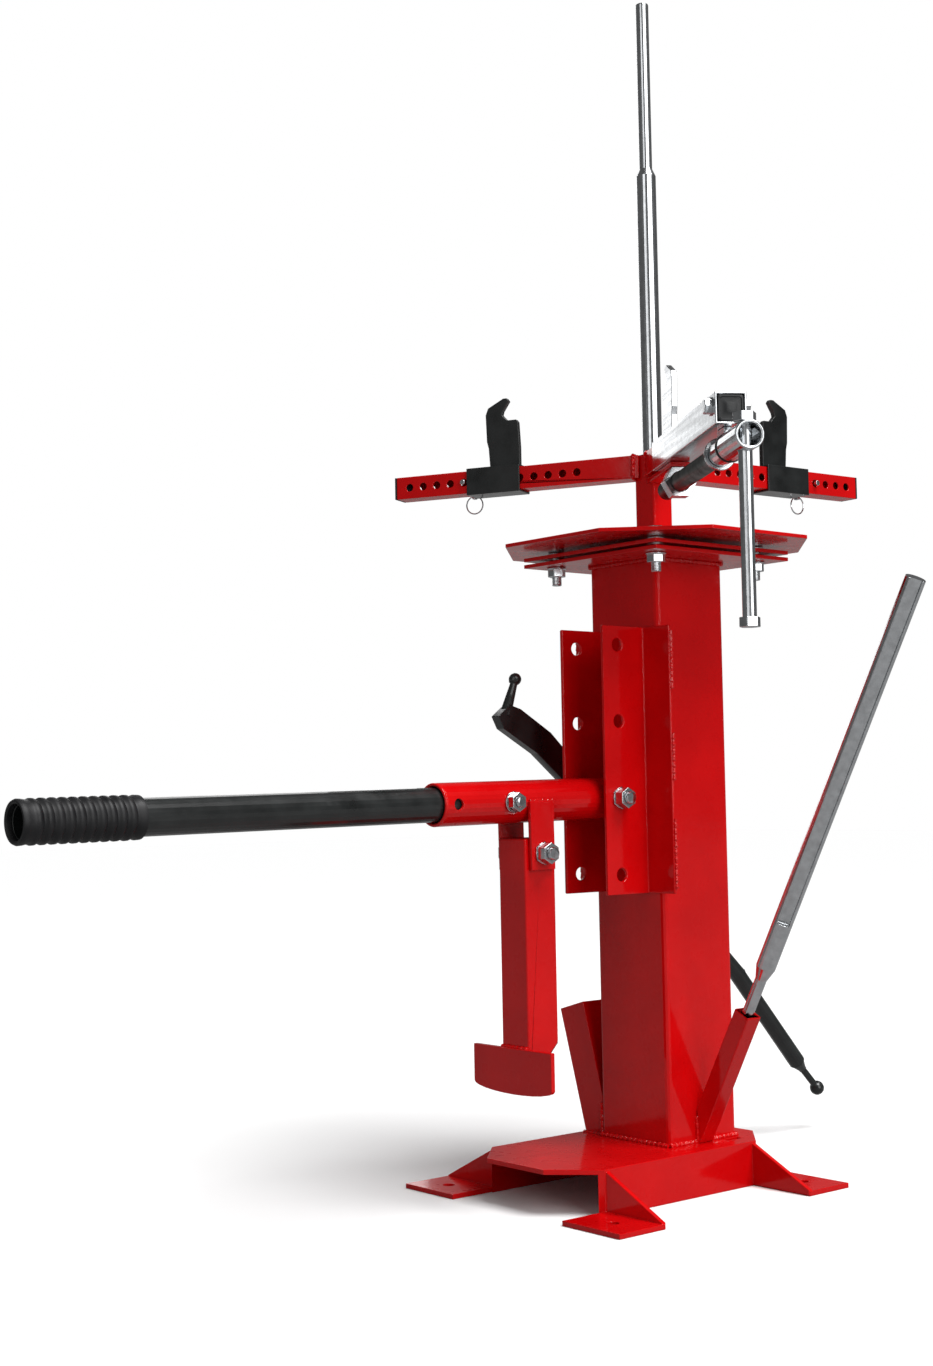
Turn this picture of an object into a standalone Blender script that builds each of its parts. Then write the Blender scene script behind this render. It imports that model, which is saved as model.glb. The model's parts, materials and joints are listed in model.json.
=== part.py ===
"""Manual tyre changer stand with a lever bead breaker, in metres, +Z up.

The origin is on the floor, under the middle of the whole object. The sizes below are written from
the column's axis, and the last step moves everything to that origin. The breaker lever reaches out
along -X, a tool socket leans along -Y, and three clamping arms spread from a hub on the top.
"""
import math

import bmesh
import bpy
from mathutils import Matrix, Vector

MM = 0.001
GAP = 0.3 * MM                      # clearance left between two pieces that touch
MIDDLE = Vector((-197.828 * MM, -34.368 * MM, 0))     # of the whole object, from the column's axis

# Base: a folded channel with an outward foot at each corner
BASE_TOP = 45 * MM
BASE_SHEET = 5 * MM
BASE_HALF_WIDTH = 84 * MM
BASE_REAR = 84 * MM                 # reach along +X
BASE_FRONT = -216 * MM              # reach along -X, under the lever
CORNER_CUT = 42 * MM
FOOT_LENGTH = 75 * MM
FOOT_WIDTH = 55 * MM
FOOT_HOLE = 6.5 * MM

# Column and the plates that are bolted on its top
COLUMN_SIDE = 100 * MM
COLUMN_WALL = 3 * MM
COLUMN_ROUND = 5 * MM
COLUMN_TOP = 650 * MM
PLATE = 4 * MM
FLANGE_SIDE = 200 * MM
HUB_FLANGE_Z = COLUMN_TOP + GAP + PLATE + 3 * MM
DECK_Z = HUB_FLANGE_Z + PLATE + 5 * MM
DECK_HALF = 151 * MM
DECK_CUT = 80 * MM
BOLT_OFFSET = 75 * MM
M10_RADIUS = 5 * MM
M10_FLATS = 17 * MM

# Breaker brackets on the -X face of the column
BRACKET_SHEET = 4 * MM
BRACKET_INNER = 28.5 * MM           # half the slot that the lever works in
BRACKET_REACH = 112 * MM
BRACKET_FLANGE = 70 * MM
BRACKET_BOTTOM = 303 * MM
BRACKET_TOP = 578 * MM
BRACKET_HOLE_X = -91.5 * MM
BRACKET_HOLE_TOP = 558.5 * MM
BRACKET_HOLE_STEP = 78.5 * MM
M12_RADIUS = 6 * MM
M12_FLATS = 19 * MM

# Breaker lever: it turns in the third pair of bracket holes
LEVER_PIVOT = Vector((BRACKET_HOLE_X, 0, BRACKET_HOLE_TOP - 2 * BRACKET_HOLE_STEP))
LEVER_DROOP = math.radians(0.9)
SLEEVE_RADIUS = 21.2 * MM
SLEEVE_BORE = 18 * MM
SLEEVE_BACK = 18 * MM               # sleeve behind the pivot
SLEEVE_REACH = 218 * MM
HANDLE_RADIUS = 16.8 * MM
HANDLE_BORE = 14 * MM
HANDLE_START = 108 * MM
HANDLE_END = 650 * MM
GRIP_START = 541 * MM
GRIP_END = 655 * MM
GRIP_RADIUS = 18.7 * MM
HANDLE_BOLT_X = -136 * MM
SPARE_HOLE_X = -204 * MM
EAR_SHEET = 4 * MM
EAR_WIDTH = 31 * MM
EAR_DROP = 68 * MM

# Pusher, hung between the ears of the lever
PUSHER_OFFSET = Vector((-101.5 * MM, 0, -51.5 * MM))
PUSHER_SIDE = 40 * MM
PUSHER_WALL = 2.5 * MM
PUSHER_ABOVE = 15 * MM
PUSHER_BELOW = 226 * MM
SLANT_HEIGHT = 39 * MM              # height of the slanting cut at the foot of the tube
SLANT = math.radians(-45)
SHOE_TOP = -191 * MM
SHOE_SHEET = 5 * MM
SHOE_HALF = 58 * MM
SHOE_HEIGHT = 45 * MM
SHOE_ARCH = 8 * MM

# Hub and clamping arms. An arm's azimuth is measured from -Y, towards +X.
POST_HALF = 14 * MM
POST_BORE = 11.2 * MM
ARM_Z = 756.5 * MM
ARM_HALF = 12.5 * MM
ARM_WALL = 2 * MM
ARM_START = 12 * MM
ARM_END = 302 * MM
FRONT_ARM_END = 260 * MM
FRONT_AZIMUTH = math.radians(-32)
LEFT_AZIMUTH = math.radians(-154)
RIGHT_AZIMUTH = math.radians(86)
HOLE_COUNT = 13
HOLE_OUTER = 286 * MM
HOLE_PITCH = 16.9 * MM
HOLE_RADIUS = 4.4 * MM

# Jaws: a sleeve that slides on an arm, with a hook that faces the hub
JAW_HALF = 15 * MM
JAW_BORE = 12.9 * MM
JAW_INNER = -32 * MM                # the sleeve's two ends, from the jaw's own frame
JAW_OUTER = 32 * MM
HOOK_INNER = -28 * MM
LEFT_JAW = 182 * MM
RIGHT_JAW = 190.5 * MM
LEFT_PIN_HOLE = 4
RIGHT_PIN_HOLE = 3
HOOK_SHEET = 6 * MM
PIN_RADIUS = 3 * MM
RING_RADIUS = 10 * MM
RING_WIRE = 0.8 * MM

# Front jaw: a long slide drawn along its arm by a screw under it
SLIDE_START = 60 * MM
SLIDE_END = 310 * MM
SCREW_DROP = -35.6 * MM
SCREW_RADIUS = 10 * MM
SCREW_START = 58 * MM
NUT_START = 103 * MM
NUT_END = 119 * MM
NUT_FLATS = 30 * MM
BUSH_START = 272 * MM
BUSH_END = 300 * MM
BUSH_RADIUS = 12.4 * MM
HEAD_START = 306 * MM
HEAD_END = 368 * MM
HEAD_RADIUS = 13.5 * MM
HEAD_BORE = 10.6 * MM
T_BAR_X = 352 * MM
T_BAR_RADIUS = 6.4 * MM
T_BAR_DROP = 165 * MM

# Tools kept on the stand
CENTRE_ROD_FOOT = DECK_Z + PLATE + GAP
CENTRE_ROD_STEP = 1079 * MM
CENTRE_ROD_TOP = 1267 * MM
CENTRE_ROD_THICK = 10.6 * MM
CENTRE_ROD_THIN = 7 * MM
SOCKET_LEAN = math.radians(28)
SOCKET_HALF = 10 * MM
SOCKET_WALL = 2 * MM
SOCKET_MOUTH = Vector((0, -115.6 * MM, 182 * MM))
SOCKET_LENGTH = 165 * MM
IRON_THIN = 6 * MM
IRON_THICK = 10 * MM
IRON_IN_SOCKET = 90 * MM
IRON_STEP = 46 * MM
IRON_LENGTH = 476 * MM
WIDE_SOCKET_HALF = 18.5 * MM
WIDE_SOCKET_MOUTH = Vector((-29 * MM, 96 * MM, 178.5 * MM))
WIDE_SOCKET_LEAN = math.radians(16)
WIDE_SOCKET_LENGTH = 160 * MM
BAR_CENTRE = Vector((0, 86 * MM, 380 * MM))
BAR_SLOPE = math.radians(42)
BAR_RADIUS = 9.5 * MM
BLADE_SHOULDER = -61 * MM           # where the blade rests on the holder
HOLDER_HALF = 14.5 * MM
HOLDER_BORE = 11.5 * MM
HOLDER_LENGTH = 68 * MM


def start_scene():
    """Empty the scene and make one collection for the parts and one for the cutters."""
    for old in list(bpy.data.objects):
        bpy.data.objects.remove(old, do_unlink=True)
    made = []
    for name in ("bead_breaker", "cutters"):
        collection = bpy.data.collections.new(name)
        bpy.context.scene.collection.children.link(collection)
        made.append(collection)
    return made


PARTS, CUTTERS = start_scene()


def material(name, colour, roughness, metallic):
    made = bpy.data.materials.new(name)
    made.use_nodes = True
    shader = made.node_tree.nodes["Principled BSDF"]
    shader.inputs["Base Color"].default_value = (*colour, 1.0)
    shader.inputs["Roughness"].default_value = roughness
    shader.inputs["Metallic"].default_value = metallic
    return made


RED = (0.62, 0.006, 0.006)
BLACK = (0.012, 0.013, 0.014)
ZINC = (0.62, 0.64, 0.65)


def painted(name):
    return material(name, RED, 0.3, 0.0)


def black(name):
    return material(name, BLACK, 0.4, 0.0)


def zinc(name):
    return material(name, ZINC, 0.3, 1.0)


def place(name, data, parent=None, look=None, smooth=False):
    """Link a mesh or a curve: with a look it is a part, without one it is a cutter."""
    made = bpy.data.objects.new(name, data)
    if look is None:
        CUTTERS.objects.link(made)
        made.hide_render = True
        made.display_type = "WIRE"
    else:
        PARTS.objects.link(made)
        data.materials.append(look(name))
    if smooth:
        data.shade_smooth()
        data.set_sharp_from_angle(angle=math.radians(35))
    made.parent = parent
    return made


def empty(name, location=(0, 0, 0), rotation=(0, 0, 0), parent=None):
    made = bpy.data.objects.new(name, None)
    PARTS.objects.link(made)
    made.location = location
    made.rotation_euler = rotation
    made.parent = parent
    return made


def block(name, low, high, parent=None, look=None, bevel=0.0):
    """A box between two corners, with rounded edges if bevel is given."""
    low = Vector(low)
    high = Vector(high)
    shape = bmesh.new()
    bmesh.ops.create_cube(shape, size=1.0)
    bmesh.ops.scale(shape, vec=high - low, verts=shape.verts)
    bmesh.ops.translate(shape, vec=(low + high) / 2, verts=shape.verts)
    if bevel:
        upright = [e for e in shape.edges if abs(e.verts[0].co.z - e.verts[1].co.z) > bevel]
        bmesh.ops.bevel(shape, geom=upright, offset=bevel, segments=3, profile=0.5, affect="EDGES")
    mesh = bpy.data.meshes.new(name)
    shape.to_mesh(mesh)
    shape.free()
    return place(name, mesh, parent, look)


def column_between(name, start, end, radius, sides, parent=None, look=None, turn=0.0, tip=None):
    """A cylinder, cone or prism between two points. tip is the radius at the end, if it differs."""
    start = Vector(start)
    end = Vector(end)
    shape = bmesh.new()
    bmesh.ops.create_cone(
        shape, cap_ends=True, segments=sides, radius1=radius,
        radius2=radius if tip is None else tip, depth=(end - start).length)
    bmesh.ops.rotate(shape, verts=shape.verts, matrix=Matrix.Rotation(turn, 3, "Z"))
    facing = (end - start).to_track_quat("Z", "Y").to_matrix().to_4x4()
    shape.transform(Matrix.Translation((start + end) / 2) @ facing)
    mesh = bpy.data.meshes.new(name)
    shape.to_mesh(mesh)
    shape.free()
    return place(name, mesh, parent, look, smooth=sides > 8)


def boolean(target, operation, helper):
    change = target.modifiers.new(helper.name, "BOOLEAN")
    change.operation = operation
    change.object = helper
    change.solver = "EXACT"
    return target


def cut(target, helper):
    return boolean(target, "DIFFERENCE", helper)


def join(target, helper):
    return boolean(target, "UNION", helper)


def turned(name, profile, sides, parent=None, look=None):
    """A turned shape about local Z. The profile runs from top to bottom, as (radius, height)."""
    mesh = bpy.data.meshes.new(name)
    points = [(radius, 0, height) for radius, height in profile]
    mesh.from_pydata(points, [(i, i + 1) for i in range(len(points) - 1)], [])
    made = place(name, mesh, parent, look)
    spin = made.modifiers.new("turn", "SCREW")
    spin.steps = sides
    spin.render_steps = sides
    spin.use_merge_vertices = True
    spin.merge_threshold = 0.00001
    spin.use_smooth_shade = True
    return made


def ring_points(x, y, radius, count):
    steps = [2 * math.pi * i / count for i in range(count)]
    return [(x + radius * math.cos(a), y + radius * math.sin(a)) for a in steps]


def sheet(name, outline, thickness, holes=(), parent=None, look=None):
    """A flat plate from an outline and its holes, in local XY, centred on its thickness."""
    curve = bpy.data.curves.new(name, "CURVE")
    curve.dimensions = "2D"
    curve.fill_mode = "BOTH"
    curve.extrude = thickness / 2
    for points in (outline, *holes):
        spline = curve.splines.new("POLY")
        spline.points.add(len(points) - 1)
        for point, (x, y) in zip(spline.points, points):
            point.co = (x, y, 0, 1)
        spline.use_cyclic_u = True
    return place(name, curve, parent, look)


def square_tube(name, half, wall, low, high, parent=None, look=None, axis=0, bevel=0.0):
    """A square tube that runs from low to high along one local axis."""
    lows = [-half] * 3
    highs = [half] * 3
    lows[axis] = low
    highs[axis] = high
    tube = block(name, lows, highs, parent, look, bevel)
    inner_lows = [-half + wall] * 3
    inner_highs = [half - wall] * 3
    inner_lows[axis] = low - 10 * MM
    inner_highs[axis] = high + 10 * MM
    return cut(tube, block(name + "_bore", inner_lows, inner_highs, parent))


def hexagon(name, flats, start, end, parent=None, look=None, turn=0.0):
    return column_between(name, start, end, flats / math.sqrt(3), 6, parent, look, turn)


def bolt(name, radius, flats, start, end, head, parent=None):
    """A hexagon bolt: the head stands on start, and the shank runs to end."""
    start = Vector(start)
    end = Vector(end)
    way = (end - start).normalized()
    made = hexagon(name, flats, start - way * head, start, parent, zinc)
    return join(made, column_between(name + "_shank", start - way * head / 2, end, radius, 16, parent))


def nut(name, radius, flats, washer, start, end, parent=None):
    """A hexagon nut with its washer, on the start side, and a hole for the bolt."""
    start = Vector(start)
    end = Vector(end)
    way = (end - start).normalized()
    made = hexagon(name, flats, start + way * 1 * MM, end, parent, zinc)
    join(made, column_between(name + "_washer", start, start + way * 1.8 * MM, washer, 20, parent))
    return cut(made, column_between(
        name + "_bore", start - way * 5 * MM, end + way * 5 * MM, radius + GAP, 16, parent))


def build_base():
    """The folded channel: a top with cut corners, two skirts, and an outward foot at each corner."""
    slot_low = Vector((22 * MM, -64 * MM, 0))
    slot_high = Vector((44 * MM, -56 * MM, BASE_TOP * 2))
    base = block("base", (BASE_FRONT, -BASE_HALF_WIDTH, 0), (BASE_REAR, BASE_HALF_WIDTH, BASE_TOP),
                 look=painted)
    inside = BASE_HALF_WIDTH - BASE_SHEET
    cut(base, block("base_inside", (BASE_FRONT - 10 * MM, -inside, -10 * MM),
                    (BASE_REAR + 10 * MM, inside, BASE_TOP - BASE_SHEET)))
    cut(base, block("base_slot", slot_low, slot_high))
    for x_name, x_side, x_end in (("rear", 1, BASE_REAR), ("front", -1, BASE_FRONT)):
        for y_name, y_side in (("near", -1), ("far", 1)):
            name = "foot_" + x_name + "_" + y_name
            corner = (x_end, y_side * BASE_HALF_WIDTH)
            cut(base, column_between(name + "_corner_cut", (*corner, -10 * MM), (*corner, BASE_TOP * 2),
                                     CORNER_CUT, 4))
            root = x_end - x_side * CORNER_CUT
            weld = y_side * (BASE_HALF_WIDTH - BASE_SHEET / 2)
            tip = y_side * (BASE_HALF_WIDTH + FOOT_LENGTH)
            xs = sorted((root - x_side * BASE_SHEET, root + x_side * FOOT_WIDTH))
            ys = sorted((weld, tip))
            join(base, block(name + "_plate", (xs[0], ys[0], 0), (xs[1], ys[1], BASE_SHEET)))
            slope = [(weld, 1 * MM), (tip - y_side * 1 * MM, 1 * MM), (tip - y_side * 1 * MM, 6 * MM),
                     (weld, BASE_TOP - 1 * MM)]
            gusset = sheet(name + "_gusset", slope, BASE_SHEET)
            gusset.location.x = root - x_side * (BASE_SHEET / 2 + 1 * MM)
            gusset.rotation_euler = (math.radians(90), 0, math.radians(90))
            join(base, as_mesh(gusset))
            hole = (root + x_side * FOOT_WIDTH / 2, y_side * (BASE_HALF_WIDTH + FOOT_LENGTH / 2))
            cut(base, column_between(name + "_hole", (*hole, -10 * MM), (*hole, 20 * MM), FOOT_HOLE, 16))


def build_column():
    """The square column, the flange welded on it, and the plates of the head."""
    half = COLUMN_SIDE / 2
    column = block("column", (-half, -half, BASE_TOP + GAP), (half, half, COLUMN_TOP), look=painted,
                   bevel=COLUMN_ROUND)
    inner = half - COLUMN_WALL
    cut(column, block("column_bore", (-inner, -inner, 0), (inner, inner, COLUMN_TOP + 10 * MM)))

    bolts = [(x * BOLT_OFFSET, y * BOLT_OFFSET) for x, y in ((-1, -1), (1, -1), (1, 1), (-1, 1))]
    holes = [ring_points(x, y, M10_RADIUS + 0.5 * MM, 16) for x, y in bolts]
    side = FLANGE_SIDE / 2
    square = [(-side, -side), (side, -side), (side, side), (-side, side)]
    clip = DECK_HALF - DECK_CUT
    octagon = [(-DECK_HALF, -clip), (-clip, -DECK_HALF), (clip, -DECK_HALF), (DECK_HALF, -clip),
               (DECK_HALF, clip), (clip, DECK_HALF), (-clip, DECK_HALF), (-DECK_HALF, clip)]
    for name, outline, bottom in (("column_flange", square, COLUMN_TOP + GAP),
                                  ("hub_flange", square, HUB_FLANGE_Z), ("deck_plate", octagon, DECK_Z)):
        plate = sheet(name, outline, PLATE, holes, look=painted)
        plate.location.z = bottom + PLATE / 2

    for number, (x, y) in enumerate(bolts, 1):
        top = DECK_Z + PLATE + GAP
        name = f"deck_bolt_{number}"
        made = bolt(name, M10_RADIUS, M10_FLATS, (x, y, top), (x, y, COLUMN_TOP - 19 * MM), 6.5 * MM)
        for gap_name, low in (("upper", HUB_FLANGE_Z + PLATE), ("lower", COLUMN_TOP + GAP + PLATE)):
            high = DECK_Z if gap_name == "upper" else HUB_FLANGE_Z
            spacer = column_between(f"{name}_{gap_name}_spacer", (x, y, low + GAP), (x, y, high - GAP),
                                    9 * MM, 16)
            join(made, spacer)
        nut(f"deck_nut_{number}", M10_RADIUS, M10_FLATS, 10.5 * MM, (x, y, COLUMN_TOP),
            (x, y, COLUMN_TOP - 10 * MM))


def build_brackets():
    """Two angles on the -X face, with four pairs of holes for the lever's pivot bolt."""
    face = -COLUMN_SIDE / 2 - GAP
    for name, side in (("near", -1), ("far", 1)):
        inner = side * BRACKET_INNER
        outer = side * (BRACKET_INNER + BRACKET_SHEET)
        ys = sorted((inner, outer))
        angle = block("bracket_" + name, (-BRACKET_REACH, ys[0], BRACKET_BOTTOM),
                      (face, ys[1], BRACKET_TOP), look=painted)
        flange_ys = sorted((inner, side * BRACKET_FLANGE))
        join(angle, block(f"bracket_{name}_flange", (face - BRACKET_SHEET, flange_ys[0], BRACKET_BOTTOM),
                          (face, flange_ys[1], BRACKET_TOP)))
        for row in range(4):
            z = BRACKET_HOLE_TOP - row * BRACKET_HOLE_STEP
            cut(angle, column_between(f"bracket_{name}_hole_{row}", (BRACKET_HOLE_X, ys[0] - 10 * MM, z),
                                      (BRACKET_HOLE_X, ys[1] + 10 * MM, z), M12_RADIUS + 0.7 * MM, 16))
    outside = BRACKET_INNER + BRACKET_SHEET + GAP
    x, _, z = LEVER_PIVOT
    bolt("lever_pivot_bolt", M12_RADIUS, M12_FLATS, (x, outside, z), (x, -outside - 16 * MM, z), 7.5 * MM)
    nut("lever_pivot_nut", M12_RADIUS, M12_FLATS, 11 * MM, (x, -outside, z), (x, -outside - 12 * MM, z))


def build_lever():
    """The lever: a sleeve with two ears, the handle tube in it, and the grip. Local X is its length."""
    lever = empty("lever", LEVER_PIVOT, (0, -LEVER_DROOP, 0))
    sleeve = column_between("lever_sleeve", (SLEEVE_BACK, 0, 0), (-SLEEVE_REACH, 0, 0), SLEEVE_RADIUS,
                            32, lever, painted)
    ear_x = PUSHER_OFFSET.x
    for name, side in (("near", -1), ("far", 1)):
        ys = sorted((side * (SLEEVE_RADIUS - 0.5 * MM), side * (SLEEVE_RADIUS + EAR_SHEET)))
        join(sleeve, block("lever_ear_" + name, (ear_x - EAR_WIDTH / 2, ys[0], -EAR_DROP),
                           (ear_x + EAR_WIDTH / 2, ys[1], 0), lever))
    cut(sleeve, column_between("lever_bore", (SLEEVE_BACK + 10 * MM, 0, 0),
                               (-SLEEVE_REACH - 10 * MM, 0, 0), SLEEVE_BORE, 32, lever))
    across = SLEEVE_RADIUS + 10 * MM
    crossings = (("pivot", 0, 0, M12_RADIUS), ("bolt", HANDLE_BOLT_X, 0, M10_RADIUS),
                 ("spare", SPARE_HOLE_X, 0, M10_RADIUS), ("ear", ear_x, PUSHER_OFFSET.z, M12_RADIUS))
    for name, x, z, radius in crossings:
        cut(sleeve, column_between(f"lever_{name}_hole", (x, -across, z), (x, across, z),
                                   radius + 0.5 * MM, 16, lever))

    handle = column_between("handle_tube", (-HANDLE_START, 0, 0), (-HANDLE_END, 0, 0), HANDLE_RADIUS, 28,
                            lever, black)
    cut(handle, column_between("handle_bore", (-HANDLE_START + 10 * MM, 0, 0),
                               (-HANDLE_END - 10 * MM, 0, 0), HANDLE_BORE, 28, lever))
    cut(handle, column_between("handle_hole", (HANDLE_BOLT_X, -across, 0), (HANDLE_BOLT_X, across, 0),
                               M10_RADIUS + 0.5 * MM, 16, lever))
    grip = column_between("handle_grip", (-GRIP_START, 0, 0), (-GRIP_END, 0, 0), GRIP_RADIUS, 28, lever,
                          black)
    cut(grip, column_between("grip_bore", (-GRIP_START + 10 * MM, 0, 0), (-HANDLE_END - GAP, 0, 0),
                             HANDLE_RADIUS + GAP, 28, lever))

    side = SLEEVE_RADIUS + GAP
    bolt("handle_bolt", M10_RADIUS, M10_FLATS, (HANDLE_BOLT_X, side, 0),
         (HANDLE_BOLT_X, -side - 13 * MM, 0), 6.5 * MM, lever)
    nut("handle_nut", M10_RADIUS, M10_FLATS, 10.5 * MM, (HANDLE_BOLT_X, -side, 0),
        (HANDLE_BOLT_X, -side - 10 * MM, 0), lever)
    return lever


def build_pusher(lever):
    """The square pusher tube, its bolt and the shoe that presses on the tyre."""
    pusher = empty("pusher", PUSHER_OFFSET, (0, LEVER_DROOP, 0), lever)
    half = PUSHER_SIDE / 2
    tube = square_tube("pusher_tube", half, PUSHER_WALL, -PUSHER_BELOW, PUSHER_ABOVE, pusher, painted,
                       axis=2)
    slant = empty("pusher_slant", (half, 0, SLANT_HEIGHT - PUSHER_BELOW), (0, SLANT, 0), pusher)
    reach = 80 * MM
    cut(tube, block("pusher_slant_cut", (-reach, -reach, -reach), (reach, reach, 0), slant))
    across = 60 * MM
    cut(tube, column_between("pusher_hole", (0, -across, 0), (0, across, 0), M12_RADIUS + 0.5 * MM, 16,
                             pusher))
    arc = [math.radians(180 + 15 * i) for i in range(13)]
    bottom = [(SHOE_HALF * math.cos(a), -SHOE_HEIGHT + SHOE_ARCH + SHOE_ARCH * math.sin(a)) for a in arc]
    outline = [(SHOE_HALF, 0), (-SHOE_HALF, 0), *bottom]
    shoe = sheet("pusher_shoe", outline, SHOE_SHEET, (), pusher, painted)
    shoe.location = (-half - SHOE_SHEET / 2 - GAP, 0, SHOE_TOP)
    shoe.rotation_euler = (math.radians(90), 0, math.radians(90))
    side = SLEEVE_RADIUS + EAR_SHEET + GAP
    bolt("pusher_bolt", M12_RADIUS, M12_FLATS, (0, side, 0), (0, -side - 16 * MM, 0), 7.5 * MM, pusher)
    nut("pusher_nut", M12_RADIUS, M12_FLATS, 11 * MM, (0, -side, 0), (0, -side - 12 * MM, 0), pusher)


def hook(name, inner, base, parent, look):
    """The hook plate: its finger leans back over the notch that takes the rim's edge."""
    shape = [(0, 0), (36, 0), (37.5, 22), (39.5, 30), (40.5, 60), (37.5, 67.5), (19, 77), (14.5, 77),
             (12, 73.5), (19.5, 62.5), (20.5, 58.5), (14.5, 52), (3.5, 52), (1.5, 49), (0, 21)]
    outline = [(x * MM, z * MM) for x, z in shape]
    plate = sheet(name, outline, HOOK_SHEET, (), parent, look)
    plate.location = (inner, 0, base)
    plate.rotation_euler = (math.radians(90), 0, 0)


def arm_frame(name, azimuth):
    """A frame on the hub's axis at arm height, whose local X points out along the arm."""
    return empty(name, (0, 0, ARM_Z), (0, 0, azimuth - math.radians(90)))


def clear_post(made):
    """Cut a piece back to the faces of the hub post, so that its end fits there."""
    half = POST_HALF + GAP
    return cut(made, block(made.name + "_post_cut", (-half, -half, DECK_Z), (half, half, DECK_Z * 2)))


def build_side_arm(name, azimuth, jaw_at, pin_hole, near):
    """A drilled arm with its plug, the sliding jaw, and the pin that stops the jaw."""
    frame = arm_frame("arm_frame_" + name, azimuth)
    arm = clear_post(square_tube("arm_" + name, ARM_HALF, ARM_WALL, ARM_START, ARM_END, frame, painted))
    for k in range(HOLE_COUNT):
        x = HOLE_OUTER - k * HOLE_PITCH
        cut(arm, column_between(f"arm_{name}_hole_{k}", (x, -ARM_HALF * 2, 0), (x, ARM_HALF * 2, 0),
                                HOLE_RADIUS, 12, frame))
    plug = ARM_HALF - ARM_WALL - GAP
    made = block("arm_plug_" + name, (ARM_END - 9 * MM, -plug, -plug), (ARM_END + 1 * MM, plug, plug),
                 frame, black)
    join(made, block(f"arm_plug_{name}_flange", (ARM_END + GAP, -ARM_HALF, -ARM_HALF),
                     (ARM_END + 2.5 * MM, ARM_HALF, ARM_HALF), frame))

    jaw = empty("jaw_frame_" + name, (jaw_at, 0, 0), parent=frame)
    square_tube("jaw_sleeve_" + name, JAW_HALF, JAW_HALF - JAW_BORE, JAW_INNER, JAW_OUTER, jaw, black)
    hook("jaw_hook_" + name, HOOK_INNER, JAW_HALF + GAP, jaw, black)

    pin = empty("pin_frame_" + name, (HOLE_OUTER - pin_hole * HOLE_PITCH, 0, 0), parent=frame)
    far = -near
    shank = column_between("pin_" + name, (0, near * 17 * MM, 0), (0, far * 18 * MM, 0), PIN_RADIUS, 12,
                           pin, zinc)
    ys = sorted((far * 14 * MM, far * 20 * MM))
    join(shank, block(f"pin_{name}_lug", (-2 * MM, ys[0], -15 * MM), (2 * MM, ys[1], 4 * MM), pin))
    eye = Vector((0, far * 17 * MM, -11.5 * MM))
    cut(shank, column_between(f"pin_{name}_eye", eye - Vector((5 * MM, 0, 0)),
                              eye + Vector((5 * MM, 0, 0)), 1.6 * MM, 10, pin))
    swing = empty("ring_frame_" + name, eye, parent=pin)
    ring = bpy.data.curves.new("pin_ring_" + name, "CURVE")
    ring.dimensions = "3D"
    ring.bevel_depth = RING_WIRE
    ring.bevel_resolution = 1
    spline = ring.splines.new("POLY")
    points = ring_points(0, -RING_RADIUS, RING_RADIUS, 24)
    spline.points.add(len(points) - 1)
    for point, (x, z) in zip(spline.points, points):
        point.co = (x, 0, z, 1)
    spline.use_cyclic_u = True
    place("pin_ring_" + name, ring, swing, zinc)


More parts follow.
